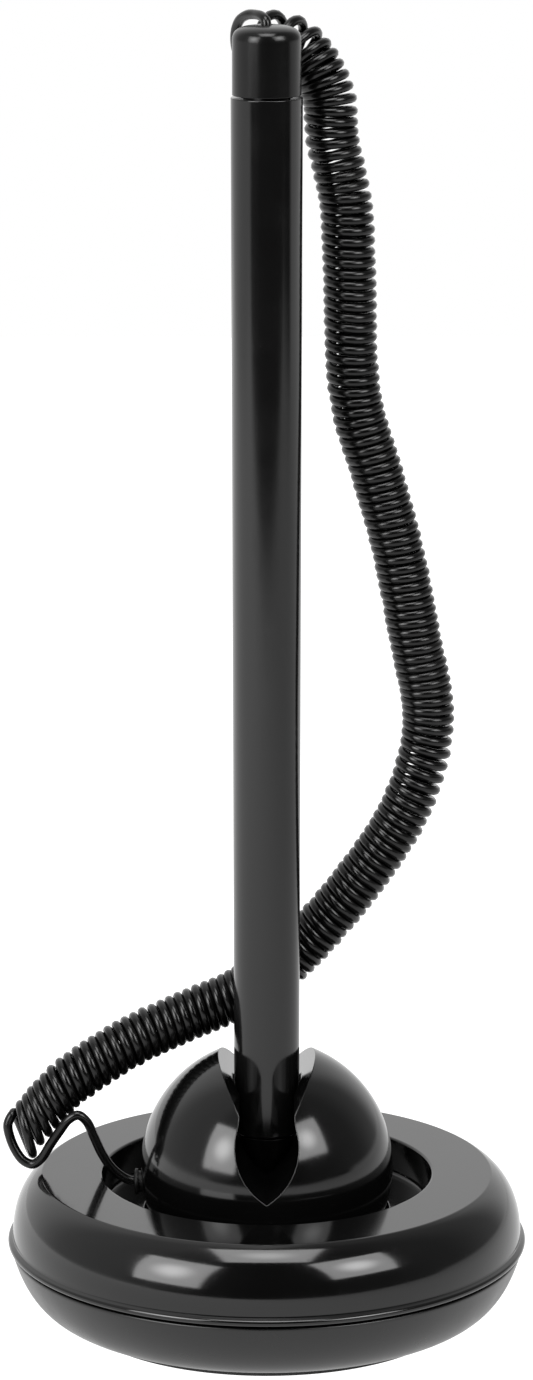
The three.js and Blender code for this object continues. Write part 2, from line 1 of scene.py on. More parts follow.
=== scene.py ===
"""Looks of a counter pen on a coiled tether, standing in a tilting ball on a weighted round base.

The frame is in metres, +Z up, with the base's axis at x = y = 0 and the user's side at -Y. The object's
sizes are kept in millimetres, as on the part's drawing, and become metres where a mesh is made. The
studio's sizes are in metres.
"""

import logging
import math
from dataclasses import dataclass, field
from enum import Enum
from typing import Sequence

import bpy
import numpy as np
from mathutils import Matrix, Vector


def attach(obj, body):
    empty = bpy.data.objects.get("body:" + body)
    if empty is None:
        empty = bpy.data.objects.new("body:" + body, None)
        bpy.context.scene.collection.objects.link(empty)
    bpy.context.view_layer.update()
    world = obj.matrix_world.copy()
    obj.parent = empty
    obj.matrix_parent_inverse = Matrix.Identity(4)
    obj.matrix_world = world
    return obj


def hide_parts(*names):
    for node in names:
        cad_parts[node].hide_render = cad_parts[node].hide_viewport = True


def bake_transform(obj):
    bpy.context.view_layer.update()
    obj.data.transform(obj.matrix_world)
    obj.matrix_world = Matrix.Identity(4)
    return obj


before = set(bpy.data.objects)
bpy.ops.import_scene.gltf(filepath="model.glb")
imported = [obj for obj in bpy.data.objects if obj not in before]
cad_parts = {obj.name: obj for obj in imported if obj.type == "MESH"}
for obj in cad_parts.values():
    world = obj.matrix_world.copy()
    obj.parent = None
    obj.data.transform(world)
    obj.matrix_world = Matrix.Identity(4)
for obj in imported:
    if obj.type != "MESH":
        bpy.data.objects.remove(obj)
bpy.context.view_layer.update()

MM = 0.001
LOG = logging.getLogger("counter_pen")

# The colour sockets of the mix node, by number: its two inputs and its output.
FIRST_COLOUR, SECOND_COLOUR, MIXED_COLOUR = 6, 7, 2

Point2 = tuple[float, float]
Point3 = tuple[float, float, float]
Place = tuple[float, float, float, float, float, float]


class Body(Enum):
    """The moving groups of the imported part."""

    BASE = "base"
    SWIVEL = "swivel"
    BALL = "ball"
    PEN = "pen"


class Slot(Enum):
    """The material slots."""

    GLOSS = "gloss_black"
    SATIN = "satin_black"
    TETHER = "tether_black"
    NYLON = "nylon_grey"
    PAD = "pad"
    STEEL = "steel"
    BRASS = "brass"
    INK = "ink_tube"


# ---------------- profiles and meshes


def bezier(start: Point2, pull: Point2, push: Point2, end: Point2, steps: int = 20) -> list[Point2]:
    """Points of a cubic curve in a profile.

    Args:
        start: First point.
        pull: Handle of the first point.
        push: Handle of the last point.
        end: Last point.
        steps: Number of pieces.

    Returns:
        steps + 1 points, both ends included.
    """
    t = np.linspace(0, 1, steps + 1)[:, None]
    corners = [np.array(p, float) for p in (start, pull, push, end)]
    line = (
        (1 - t) ** 3 * corners[0]
        + 3 * (1 - t) ** 2 * t * corners[1]
        + 3 * (1 - t) * t**2 * corners[2]
        + t**3 * corners[3]
    )
    return [(float(x), float(y)) for x, y in line]


def arc(centre: Point2, radius: float, start: float, end: float, steps: int) -> list[Point2]:
    """Points of a circle's arc in a profile.

    Args:
        centre: The circle's centre.
        radius: The circle's radius.
        start: First angle in degrees, from the outward direction towards up.
        end: Last angle in degrees.
        steps: Number of pieces.

    Returns:
        steps + 1 points, both ends included.
    """
    turns = np.radians(np.linspace(start, end, steps + 1))
    return [(centre[0] + radius * math.cos(a), centre[1] + radius * math.sin(a)) for a in turns]


def softened(
    corners: Sequence[Point3],
    steps: int = 6,
    hold: float = 0.04,
    most: float = 0.42,
    hold_share: float = 0.05,
) -> list[Point2]:
    """A closed profile with its corners rounded, and a held line beside each so that flats stay flat.

    Args:
        corners: (x, y, rounding) of each corner in order; a rounding of 0 leaves it as it is.
        steps: Pieces in each rounded corner.
        hold: How far from the rounding the held line lies.
        most: Largest share of a side that a rounding takes.
        hold_share: Largest share of a side between the rounding and the held line.

    Returns:
        The profile's points.
    """
    line: list[Point2] = []
    count = len(corners)
    for i, (x, y, rounding) in enumerate(corners):
        here = np.array((x, y), float)
        if rounding <= 0:
            line.append((x, y))
            continue
        arms = []
        for other in (corners[i - 1], corners[(i + 1) % count]):
            arm = np.array(other[:2], float) - here
            arms.append((arm / np.linalg.norm(arm), np.linalg.norm(arm)))
        (back, back_length), (ahead, ahead_length) = arms
        angle = math.acos(float(np.clip(back @ ahead, -1, 1)))
        shorter = min(back_length, ahead_length)
        reach = min(rounding / math.tan(angle / 2), most * shorter)
        held = min(hold, hold_share * shorter)
        line.append(tuple(here + back * (reach + held)))
        for t in np.linspace(0, 1, steps + 1):
            line.append(tuple(here + back * reach * (1 - t) ** 2 + ahead * reach * t**2))
        line.append(tuple(here + ahead * (reach + held)))
    return line


def mesh_object(
    name: str, points: np.ndarray, faces: Sequence[Sequence[int]], smooth_angle: float = 32,
) -> bpy.types.Object:
    """A mesh object in the scene, smooth except across sharp edges.

    Args:
        name: The object's name.
        points: Corner positions in metres.
        faces: Corner numbers of each face.
        smooth_angle: Degrees past which an edge shows sharp.

    Returns:
        The new object.
    """
    mesh = bpy.data.meshes.new(name)
    mesh.from_pydata([tuple(p) for p in points], [], faces)
    mesh.validate()
    mesh.polygons.foreach_set("use_smooth", [True] * len(mesh.polygons))
    mesh.set_sharp_from_angle(angle=math.radians(smooth_angle))
    mesh.update()
    made = bpy.data.objects.new(name, mesh)
    bpy.context.scene.collection.objects.link(made)
    return made


def turned(name: str, profile: Sequence[Point2], segments: int = 192, ring: bool = True) -> bpy.types.Object:
    """A profile turned about Z.

    Args:
        name: The object's name.
        profile: (radius, height) points in millimetres; a ring profile runs anticlockwise.
        segments: Pieces round the circle.
        ring: Whether the profile closes on itself; if not, its first and last points lie on the axis.

    Returns:
        The new object, its faces pointing outward.
    """
    turns = np.arange(segments) * 2 * math.pi / segments
    circle = np.stack([np.cos(turns), np.sin(turns), np.zeros(segments)], 1)
    points: list[np.ndarray] = []
    rows: list[list[int]] = []
    for radius, height in profile:
        start = len(points)
        if radius < 1e-6:
            points.append(np.array((0, 0, height)) * MM)
            rows.append([start] * segments)
            continue
        points.extend((circle * radius + (0, 0, height)) * MM)
        rows.append(list(range(start, start + segments)))
    if ring:
        rows.append(rows[0])
    area = sum(a[0] * b[1] - b[0] * a[1] for a, b in zip(profile, [*profile[1:], profile[0]]))
    faces = []
    for low, high in zip(rows, rows[1:]):
        for i in range(segments):
            j = (i + 1) % segments
            face = list(dict.fromkeys((low[i], low[j], high[j], high[i])))
            if len(face) > 2:
                faces.append(face if area > 0 else face[::-1])
    return mesh_object(name, np.array(points), faces)


def cut(body: bpy.types.Object, tools: Sequence[bpy.types.Object]) -> None:
    """Cuts other solids from a body and takes them away.

    Args:
        body: The object to cut, changed in place.
        tools: The cutting solids, removed afterwards.
    """
    for tool in tools:
        knife = body.modifiers.new("cut", "BOOLEAN")
        knife.operation = "DIFFERENCE"
        knife.solver = "EXACT"
        knife.object = tool
    shaped = bpy.data.meshes.new_from_object(body.evaluated_get(bpy.context.evaluated_depsgraph_get()))
    body.modifiers.clear()
    body.data = shaped
    for tool in tools:
        bpy.data.objects.remove(tool)


def unit(vectors: np.ndarray) -> np.ndarray:
    """Vectors brought to length 1, one or a row each."""
    return vectors / np.linalg.norm(vectors, axis=-1, keepdims=True)


def smooth_line(points: Sequence[Sequence[float]], step: float, pieces: int = 24) -> np.ndarray:
    """A centripetal spline through chosen points, the same curve that the part's cord solids follow.

    Args:
        points: Points to pass through; numbers past the first three are carried along smoothly.
        step: Spacing of the result.
        pieces: How finely each stretch is drawn before it is spaced evenly.

    Returns:
        Evenly spaced points, first and last included.
    """
    knots = np.array(points, float)
    knots = np.vstack([2 * knots[0] - knots[1], knots, 2 * knots[-1] - knots[-2]])
    drawn = []
    for a, b, c, d in zip(knots, knots[1:], knots[2:], knots[3:]):
        gaps = [max(np.linalg.norm((q - p)[:3]) ** 0.5, 1e-6) for p, q in ((a, b), (b, c), (c, d))]
        time = np.concatenate([[0], np.cumsum(gaps)])
        t = np.linspace(time[1], time[2], pieces, endpoint=False)[:, None]
        row = [a, b, c, d]
        for spans in (((0, 1), (1, 2), (2, 3)), ((0, 2), (1, 3)), ((1, 2),)):
            row = [
                ((time[j] - t) * row[k] + (t - time[i]) * row[k + 1]) / (time[j] - time[i])
                for k, (i, j) in enumerate(spans)
            ]
        drawn.append(row[0])
    dense = np.vstack([*drawn, knots[-2][None]])
    along = np.concatenate([[0], np.cumsum(np.linalg.norm(np.diff(dense[:, :3], axis=0), axis=1))])
    marks = np.linspace(0, along[-1], max(int(round(along[-1] / step)), 2) + 1)
    return np.stack([np.interp(marks, along, dense[:, k]) for k in range(dense.shape[1])], 1)


# ---------------- finishes


class NodeKit:
    """A tree of nodes, with short calls for what the finishes, the lights and the room share."""

    def __init__(self, tree: bpy.types.NodeTree) -> None:
        """Take the tree to work in."""
        self.tree = tree

    def node(self, kind: str, **inputs: object) -> bpy.types.Node:
        """Add a node.

        Args:
            kind: The node's type name.
            inputs: Values or outputs for its sockets, with _ for a space in their names.

        Returns:
            The new node.
        """
        made = self.tree.nodes.new(kind)
        for key, value in inputs.items():
            self.feed(made.inputs[key.replace("_", " ")], value)
        return made

    def feed(self, socket: bpy.types.NodeSocket, value: object) -> None:
        """Link an output to a socket, or set the socket's own value."""
        if isinstance(value, bpy.types.NodeSocket):
            self.tree.links.new(value, socket)
        else:
            socket.default_value = value

    def span(
        self, value: object, low: float, high: float, to_low: float, to_high: float, course: str = "LINEAR",
    ) -> bpy.types.NodeSocket:
        """A value carried from one range to another and held inside it.

        Args:
            value: The value to carry.
            low: Start of its range.
            high: End of its range.
            to_low: What the start becomes.
            to_high: What the end becomes.
            course: How it runs between them.

        Returns:
            The carried value.
        """
        made = self.node("ShaderNodeMapRange", Value=value, From_Min=low, From_Max=high, To_Min=to_low)
        made.interpolation_type = course
        made.inputs["To Max"].default_value = to_high
        return made.outputs["Result"]

    def sums(self, work: str, first: object, second: object) -> bpy.types.NodeSocket:
        """Two values joined by a sum, such as ADD or MULTIPLY."""
        made = self.node("ShaderNodeMath")
        made.operation = work
        self.feed(made.inputs[0], first)
        self.feed(made.inputs[1], second)
        return made.outputs[0]

    def blend(self, share: object, first: object, second: object) -> bpy.types.NodeSocket:
        """Two colours mixed by a share from 0, the first, to 1, the second."""
        made = self.node("ShaderNodeMix", Factor=share)
        made.data_type = "RGBA"
        self.feed(made.inputs[FIRST_COLOUR], first)
        self.feed(made.inputs[SECOND_COLOUR], second)
        return made.outputs[MIXED_COLOUR]


class Shader(NodeKit):
    """A material's nodes, worked from the piece's own coordinates."""

    def __init__(self, name: str) -> None:
        """Start a material with one surface shader.

        Args:
            name: The material's name.
        """
        self.material = bpy.data.materials.new(name)
        self.material.use_nodes = True
        super().__init__(self.material.node_tree)
        self.surface = self.tree.nodes["Principled BSDF"]
        self.place = self.node("ShaderNodeTexCoord").outputs["Object"]

    def noise(self, size: float, detail: float = 3.0, stretch: Point3 = (1, 1, 1)) -> bpy.types.NodeSocket:
        """A noise pattern.

        Args:
            size: Width of its features in millimetres.
            detail: How many finer layers it has.
            stretch: Scale along each axis; below 1 draws the pattern out.

        Returns:
            Its value, about 0.3 to 0.7.
        """
        mapping = self.node("ShaderNodeMapping", Vector=self.place, Scale=stretch)
        made = self.node(
            "ShaderNodeTexNoise", Vector=mapping.outputs["Vector"], Scale=1 / (size * MM), Detail=detail)
        return made.outputs["Fac"]

    def cells(self, size: float) -> bpy.types.NodeSocket:
        """Distance to the nearest of scattered points, features size millimetres apart."""
        made = self.node("ShaderNodeTexVoronoi", Vector=self.place, Scale=1 / (size * MM))
        return made.outputs["Distance"]

    def bump(self, height: object, depth: float, under: object = None) -> bpy.types.NodeSocket:
        """A surface raised by a pattern.

        Args:
            height: The pattern.
            depth: Its full height in millimetres.
            under: The normal that it is laid on, if not the surface's own.

        Returns:
            The new normal.
        """
        made = self.node("ShaderNodeBump", Height=height, Distance=depth * MM)
        if under is not None:
            self.feed(made.inputs["Normal"], under)
        return made.outputs["Normal"]

    def rounded(self, radius: float, samples: int = 6) -> bpy.types.NodeSocket:
        """The surface's normal with each sharp edge rounded by a radius in millimetres."""
        made = self.node("ShaderNodeBevel", Radius=radius * MM)
        made.samples = samples
        return made.outputs["Normal"]

    def set(self, **values: object) -> None:
        """Set or link the surface shader's sockets, with _ for a space in their names."""
        for key, value in values.items():
            self.feed(self.surface.inputs[key.replace("_", " ")], value)


def grey(value: float, warmth: float = 0.0) -> tuple[float, float, float, float]:
    """A grey, a little warmer or cooler by its warmth."""
    return (value * (1 + warmth), value, value * (1 - warmth), 1.0)


@dataclass(frozen=True)
class Moulding:
    """Moulded plastic: a slow ripple, a fine grain, faint rub marks, and a few specks of dust.

    Colour is a grey from 0 to 1, swing is how far the roughness wanders, and edge is the rounding that
    sharp edges are given. The ripple, grain, dust spacing and edge are in millimetres.
    """

    name: str
    colour: float
    roughness: float
    swing: float
    warmth: float = 0.0
    ripple: float = 9.0
    ripple_depth: float = 0.0015
    grain: float = 0.25
    grain_depth: float = 0.0002
    rub: float = 0.05
    dust: float = 0.06
    dust_grey: float = 0.35
    dust_spacing: float = 2.6
    edge: float = 0.0
    ior: float = 1.5

    def material(self) -> bpy.types.Material:
        """Build the finish."""
        shader = Shader(self.name)
        mottle = shader.noise(7.0, 4)
        rubbed = shader.span(shader.noise(0.35, 2, (1, 1, 0.06)), 0.58, 0.72, 0, 1)
        handled = shader.sums("MULTIPLY", rubbed, shader.span(mottle, 0.42, 0.62, 0, self.rub))
        worn = shader.span(mottle, 0.3, 0.7, self.roughness - self.swing, self.roughness + self.swing)
        speck = shader.span(shader.cells(self.dust_spacing), 0.0, 0.035, 1, 0)
        dusty = shader.sums("MULTIPLY", speck, self.dust)
        shade = shader.blend(mottle, *(grey(self.colour * share, self.warmth) for share in (0.8, 1.2)))
        edge = shader.rounded(self.edge) if self.edge > 0 else None
        normal = shader.bump(shader.noise(self.ripple, 1), self.ripple_depth, edge)
        normal = shader.bump(shader.noise(self.grain, 2), self.grain_depth, normal)
        rough = shader.sums("ADD", worn, shader.sums("ADD", handled, dusty))
        shader.set(
            Base_Color=shader.blend(dusty, shade, grey(self.dust_grey)), Roughness=rough, Normal=normal,
            IOR=self.ior)
        return shader.material


@dataclass(frozen=True)
class SoftCord:
    """Extruded soft plastic: faint lines of the die, a slightly uneven skin, and a dull haze in places."""

    name: str
    colour: float
    roughness: float
    swing: float
    skin: float = 1.4
    skin_depth: float = 0.002
    die_line: float = 0.09
    ior: float = 1.4

    def material(self) -> bpy.types.Material:
        """Build the finish."""
        shader = Shader(self.name)
        haze = shader.noise(11.0, 3)
        skin = shader.noise(self.skin, 3)
        rough = shader.span(haze, 0.32, 0.68, self.roughness - self.swing, self.roughness + self.swing)
        bloom = shader.span(shader.noise(0.8, 4), 0.55, 0.75, 0, 0.04)
        shade = shader.blend(haze, grey(self.colour * 0.8, 0.02), grey(self.colour * 1.25, 0.05))
        normal = shader.bump(skin, self.skin_depth)
        normal = shader.bump(shader.noise(self.die_line, 1), self.skin_depth * 0.1, normal)
        shader.set(Base_Color=shade, Roughness=shader.sums("ADD", rough, bloom), Normal=normal, IOR=self.ior)
        return shader.material


@dataclass(frozen=True)
class TurnedMetal:
    """Metal with fine tool lines, handling stains, and brighter and duller patches."""

    name: str
    colour: tuple[float, float, float]
    stain: tuple[float, float, float]
    roughness: float
    line_width: float = 0.12
    line_depth: float = 0.004

    def material(self) -> bpy.types.Material:
        """Build the finish."""
        shader = Shader(self.name)
        lines = shader.noise(self.line_width, 2, (0.08, 0.08, 1))
        patches = shader.noise(3.0, 5)
        share = shader.span(patches, 0.45, 0.75, 0, 0.55)
        rough = shader.span(lines, 0.3, 0.7, self.roughness * 0.7, self.roughness * 1.35)
        shader.set(
            Base_Color=shader.blend(share, (*self.colour, 1), (*self.stain, 1)),
            Roughness=shader.sums("ADD", rough, shader.span(patches, 0.4, 0.8, 0, 0.15)),
            Metallic=1.0,
            Anisotropic=0.3,
            Normal=shader.bump(lines, self.line_depth),
        )
        return shader.material


@dataclass(frozen=True)
class FoamPad:
    """Close-celled foam rubber: small open cells, a matt face and pale lint."""

    name: str
    colour: float
    cell: float = 0.35

    def material(self) -> bpy.types.Material:
        """Build the finish."""
        shader = Shader(self.name)
        pits = shader.cells(self.cell)
        lint = shader.span(shader.noise(0.5, 5, (1, 0.3, 1)), 0.66, 0.74, 0, 0.5)
        shade = shader.blend(shader.noise(4.0, 3), grey(self.colour * 0.7), grey(self.colour * 1.4))
        shader.set(
            Base_Color=shader.blend(lint, shade, grey(0.22)),
            Roughness=shader.span(pits, 0, 0.6, 0.95, 0.75),
            Normal=shader.bump(pits, 0.06),
        )
        return shader.material


@dataclass(frozen=True)
class InkTube:
    """Clear tube with dark ink in it, streaked where the ink has drawn down."""

    name: str
    ink: tuple[float, float, float]

    def material(self) -> bpy.types.Material:
        """Build the finish."""
        shader = Shader(self.name)
        streaks = shader.span(shader.noise(0.6, 4, (1, 1, 0.15)), 0.4, 0.65, 0, 1)
        deep = (*self.ink, 1)
        pale = (*(min(1.0, c * 3 + 0.05) for c in self.ink), 1)
        shader.set(
            Base_Color=shader.blend(streaks, deep, pale),
            Roughness=shader.span(streaks, 0, 1, 0.12, 0.3),
            Coat_Weight=0.6,
            Coat_Roughness=0.08,
            Normal=shader.bump(shader.noise(1.5, 2), 0.01),
        )
        return shader.material


GLOSS_MOULDING = Moulding("gloss_black", 0.002, 0.1, 0.02)
BALL_MOULDING = Moulding("gloss_black_ball", 0.002, 0.115, 0.02, edge=0.22)
BARREL_MOULDING = Moulding("gloss_black_barrel", 0.0034, 0.13, 0.02, ripple=14, ripple_depth=0.0008)
CAP_MOULDING = Moulding("gloss_black_cap", 0.003, 0.22, 0.03, ripple=6, ripple_depth=0.0008, ior=1.37)
BUSH_MOULDING = Moulding("satin_black_bush", 0.001, 0.55, 0.05, grain=0.15, grain_depth=0.004, ior=1.36)
SATIN_MOULDING = Moulding("satin_black", 0.0016, 0.3, 0.04, grain=0.18, grain_depth=0.006, dust=0.1)
NYLON_MOULDING = Moulding("nylon_grey", 0.26, 0.5, 0.06, grain=0.4, grain_depth=0.01, rub=0.12)
CORD_PLASTIC = SoftCord("tether_black", 0.0012, 0.23, 0.04)
STEEL = TurnedMetal("steel", (0.56, 0.57, 0.58), (0.32, 0.3, 0.28), 0.3)
BRASS = TurnedMetal("brass", (0.78, 0.56, 0.25), (0.42, 0.27, 0.11), 0.24)
PAD_FOAM = FoamPad("pad", 0.02)
INK = InkTube("ink_tube", (0.012, 0.025, 0.16))


class Wardrobe:
    """The finishes, each made once and handed out by slot."""

    def __init__(self) -> None:
        """Make every finish."""
        self.by_slot = {
            Slot.GLOSS: GLOSS_MOULDING.material(),
            Slot.SATIN: SATIN_MOULDING.material(),
            Slot.TETHER: CORD_PLASTIC.material(),
            Slot.NYLON: NYLON_MOULDING.material(),
            Slot.PAD: PAD_FOAM.material(),
            Slot.STEEL: STEEL.material(),
            Slot.BRASS: BRASS.material(),
            Slot.INK: INK.material(),
        }
        self.ball = BALL_MOULDING.material()
        self.barrel = BARREL_MOULDING.material()
        self.cap = CAP_MOULDING.material()
        self.bush = BUSH_MOULDING.material()

    def dress(self, piece: bpy.types.Object, slot: Slot, special: bpy.types.Material | None = None) -> None:
        """Give a piece its finish: the slot's own, or a special one if it is given.

        Args:
            piece: The piece to dress.
            slot: The material slot that the finish stands for.
            special: A finish of the same slot made for this piece, if it has one.
        """
        finish = special or self.by_slot[slot]
        worn = piece.data.materials
        for place in range(len(worn)):
            worn[place] = finish
        if not worn:
            worn.append(finish)

    def fit(
        self, skin: bpy.types.Object, node: str, body: Body, slot: Slot,
        special: bpy.types.Material | None = None,
    ) -> None:
        """Dress a finished skin and put it on its body, in place of the frame's plain node.

        Args:
            skin: The skin.
            node: The node that it stands for.
            body: The body that it rides on.
            slot: The material slot that the finish stands for.
            special: A finish of the same slot made for this skin, if it has one.
        """
        self.dress(skin, slot, special)
        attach(skin, body.value)
        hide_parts(node)
        LOG.info("%s: %d faces, on %s", skin.name, len(skin.data.polygons), body.value)

    def dress_nodes(self, names: dict[str, Slot]) -> None:
        """Give carried-over nodes of the frame their finishes, by name."""
        for name, slot in names.items():
            self.dress(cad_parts[name], slot)
            LOG.info("dressed %s in %s", name, slot.value)


# ---------------- camera


@dataclass
class Viewpoint:
    """The camera: a long lens, a little above the pen, looking slightly down."""

    place: Point3 = (-0.03, -700.0, 253.93)
    pitch: float = 12.994
    lens: float = 132.31
    sensor: float = 36.0

    def build(self) -> None:
        """Make the scene's camera."""
        data = bpy.data.cameras.new("viewpoint")
        data.lens = self.lens
        data.sensor_width = self.sensor
        data.clip_start = 0.01
        data.clip_end = 50
        camera = bpy.data.objects.new("viewpoint", data)
        camera.location = Vector(self.place) * MM
        camera.rotation_euler = (math.radians(90 - self.pitch), 0, 0)
        bpy.context.scene.collection.objects.link(camera)
        bpy.context.scene.camera = camera


# ---------------- tether


@dataclass
class Tether:
    """One cord: a lead out of the cap, a long left-handed coil, and a strand into the ball.

    The lead, the coil's middle line and the strand go through points in millimetres. A place on the coil
    also holds its turns' pitch, and their nod towards the user and lean sideways in degrees. The first
    turns are yawed as well, and the last ones sag open. cord_radius is to the corners of the skin's flat
    sides, so it is a little over half of cord_diameter. blend_low and blend_high are not used.
    """

    cord_radius: float = 0.7
    cord_diameter: float = 1.3
    turn_radius: float = 3.1
    steps_per_turn: int = 22
    sides: int = 10
    spacing: float = 0.3
    length: float = 2670.0
    exit: Point3 = (0.0, 0.0, 186.2)
    wander: float = 0.03
    wander_share: Point3 = (0.6, 0.6, 1.0)
    seed: int = 11
    sag: float = 0.8
    sag_swing: float = 0.15
    sag_turns: float = 1.7
    sag_onset: float = 0.8
    joint_step: int = 4
    blend_low: float = 42.0
    blend_high: float = 182.0
    lead: list[Point3] = field(default_factory=lambda: [
        (0, 0, 183.9), (0, 0, 185.6), (-0.15, 0.2, 186.8), (-0.7, 1.2, 187.3), (-1.6, 2.8, 187.4),
        (-2.7, 4.3, 187.2), (-3.7, 5.8, 186.4), (-4.3, 7, 184.9), (-4.4, 7.8, 183.2), (-4, 8.6, 181.5),
        (-2.8, 9.3, 180.4),
    ])
    coil: list[Place] = field(default_factory=lambda: [
        (-2.6, 9.6, 183.4, 3.3, 0, 0), (0.9, 9.6, 183.6, 3.2, 0, 0), (3.9, 9.6, 182.8, 2.0, 0, -4),
        (6.7, 9.6, 179.8, 1.38, 0, -4), (8.7, 9.6, 175.2, 1.38, -1, 0), (9.2, 9.6, 169.4, 1.58, -1, 0),
        (11, 9.7, 161, 1.52, -1, 0), (11.7, 9.9, 150, 1.52, -3, 0), (12, 10, 138, 1.52, -4, 0),
        (12.9, 10.1, 131, 1.44, -4, 0), (15.6, 10.2, 122, 1.38, -4, 0), (18.5, 10.3, 111.5, 1.37, -3, 0),
        (21.3, 10.3, 97.5, 1.32, -3, 0), (23.2, 10.2, 87, 1.36, -2, 0), (22.4, 10.1, 79.5, 1.75, 0, 0),
        (19.5, 10, 71.5, 1.42, 0, 0), (14.3, 9.8, 63.2, 1.38, 0, 0), (8.3, 9.6, 55.6, 1.37, 0, 0),
        (2.6, 9.5, 49.6, 1.37, 0, 0), (-3.8, 9.4, 45.1, 1.38, 0, 0), (-11, 8.4, 42.1, 1.38, 0, 0),
        (-17.6, 6.7, 39.6, 1.38, 0, 0), (-23.5, 5, 36.6, 1.4, 0, 5), (-29, 3.7, 33, 1.42, 0, 13),
        (-33.2, 2.9, 28.6, 1.46, 0, 21),
    ])
    coil_end: Place = (-35.8, 2.5, 25.9, 1.7, 0, 29)
    first_turn_yaw: float = -27.0
    yawed_turns: float = 7.0
    strand: list[Point3] = field(default_factory=lambda: [
        (-37.5, 2, 27.4), (-37.2, 1.7, 25.5), (-36.3, 1.2, 23.5), (-35.2, 0.8, 22.2), (-33.9, 0.5, 21.8),
        (-32.6, 0.1, 22.8), (-31.3, -0.3, 25), (-29.9, -0.7, 27.2), (-28.6, -1, 29), (-27.2, -1, 29.7),
        (-26, -0.8, 28.7), (-25, -0.5, 26.4), (-23.8, -0.3, 23.6), (-22.4, -0.1, 21.4), (-20.8, 0, 20),
        (-19.4, 0, 19.4), (-17.8, 0, 19.3), (-15.9, 0, 19.3),
    ])

    def coiled(self) -> np.ndarray:
        """The coil's own line, turn after turn round its route.

        Returns:
            Points in millimetres, steps_per_turn to a turn, from over the cap to the last open turn.
        """
        route = smooth_line([*self.coil, self.coil_end], 0.1)
        pitch = route[:, 3]
        lengths = np.linalg.norm(np.diff(route[:, :3], axis=0), axis=1)
        turns = np.concatenate([[0], np.cumsum(2 * lengths / (pitch[1:] + pitch[:-1]))])
        whole = round(turns[-1] - 0.5) + 0.5
        turns *= whole / turns[-1]
        marks = np.linspace(0, whole, int(whole * self.steps_per_turn) + 1)
        centres = np.stack([np.interp(marks, turns, route[:, k]) for k in range(3)], 1)
        nod, lean = (np.radians(np.interp(marks, turns, route[:, k])) for k in (4, 5))
        yaw = np.radians(self.first_turn_yaw * np.clip(1 - marks / self.yawed_turns, 0, 1))
        ahead = unit(np.gradient(centres, axis=0))
        axis = unit(np.stack([
            ahead[:, 0] * np.cos(lean) + ahead[:, 2] * np.sin(lean),
            ahead[:, 1] + np.sin(yaw) - np.sin(nod),
            ahead[:, 2] * np.cos(lean) - ahead[:, 0] * np.sin(lean),
        ], 1))
        back = unit(np.array((0, 1.0, 0)) - axis * axis[:, 1:2])
        side = np.cross(axis, back)
        chance = np.random.default_rng(self.seed)
        knots = np.arange(0, whole + 2, 0.5)
        drift = np.stack([
            np.interp(marks, knots, chance.normal(0, self.wander, len(knots))) for _ in range(4)
        ], 1)
        angle = math.pi / 2 - 2 * math.pi * marks
        reach = self.turn_radius + drift[:, 3]
        line = centres + (np.cos(angle) * reach)[:, None] * back + (np.sin(angle) * reach)[:, None] * side
        line += drift[:, :3] * np.array(self.wander_share)
        open_share = np.clip((marks - (whole - self.sag_turns)) / self.sag_onset, 0, 1)
        low_share = (1 + np.sin(angle)) / 2
        line += np.outer(open_share * low_share, (self.sag_swing, 0, -self.sag))
        return line

    def line(self) -> np.ndarray:
        """The whole cord's middle line, from the stop in the cap to the stop in the ball."""
        coil = self.coiled()
        step = self.joint_step
        start = self.steps_per_turn // 2
        lead = smooth_line([*self.lead, *coil[start:start + 2 * step + 1:step]], self.spacing)
        meeting = int(np.argmin(np.linalg.norm(lead - coil[start], axis=1)))
        strand = smooth_line([*coil[-1 - 2 * step::step], *self.strand], self.spacing)
        parting = int(np.argmin(np.linalg.norm(strand - coil[-1], axis=1)))
        return np.vstack([lead[:meeting], coil[start:], strand[parting + 1:]])

    def skin(self, line: np.ndarray) -> bpy.types.Object:
        """The cord's round skin along its middle line.

        Args:
            line: The middle line's points in millimetres.

        Returns:
            The new object.
        """
        heading = unit(np.gradient(line, axis=0))
        across = np.cross(heading[0], (0, 1.0, 0))
        turns = np.arange(self.sides) * 2 * math.pi / self.sides
        points = np.zeros((len(line), self.sides, 3))
        for i, (centre, ahead) in enumerate(zip(line, heading)):
            across = unit(across - ahead * (across @ ahead))
            other = np.cross(ahead, across)
            points[i] = centre + self.cord_radius * (
                np.cos(turns)[:, None] * across + np.sin(turns)[:, None] * other)
        rows = np.arange(len(line) * self.sides).reshape(-1, self.sides)
        faces = [
            (int(low[i]), int(low[i - self.sides + 1]), int(high[i - self.sides + 1]), int(high[i]))
            for low, high in zip(rows, rows[1:]) for i in range(self.sides)
        ]
        faces += [tuple(rows[0, ::-1].tolist()), tuple(rows[-1].tolist())]
        return mesh_object("tether", points.reshape(-1, 3) * MM, faces, 60)

    def build(self, wardrobe: Wardrobe) -> None:
        """Args:
            wardrobe: The finishes.
        """
        line = self.line()
        cord = self.skin(line)
        wardrobe.dress(cord, Slot.TETHER)
        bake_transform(cord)
        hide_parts("tether_coil", "tether_strand", "tether_lead")
        measured = float(np.sum(np.linalg.norm(np.diff(line, axis=0), axis=1)))
        LOG.info("%s: %.0f mm of cord, %d faces", cord.name, measured, len(cord.data.polygons))


# ---------------- base


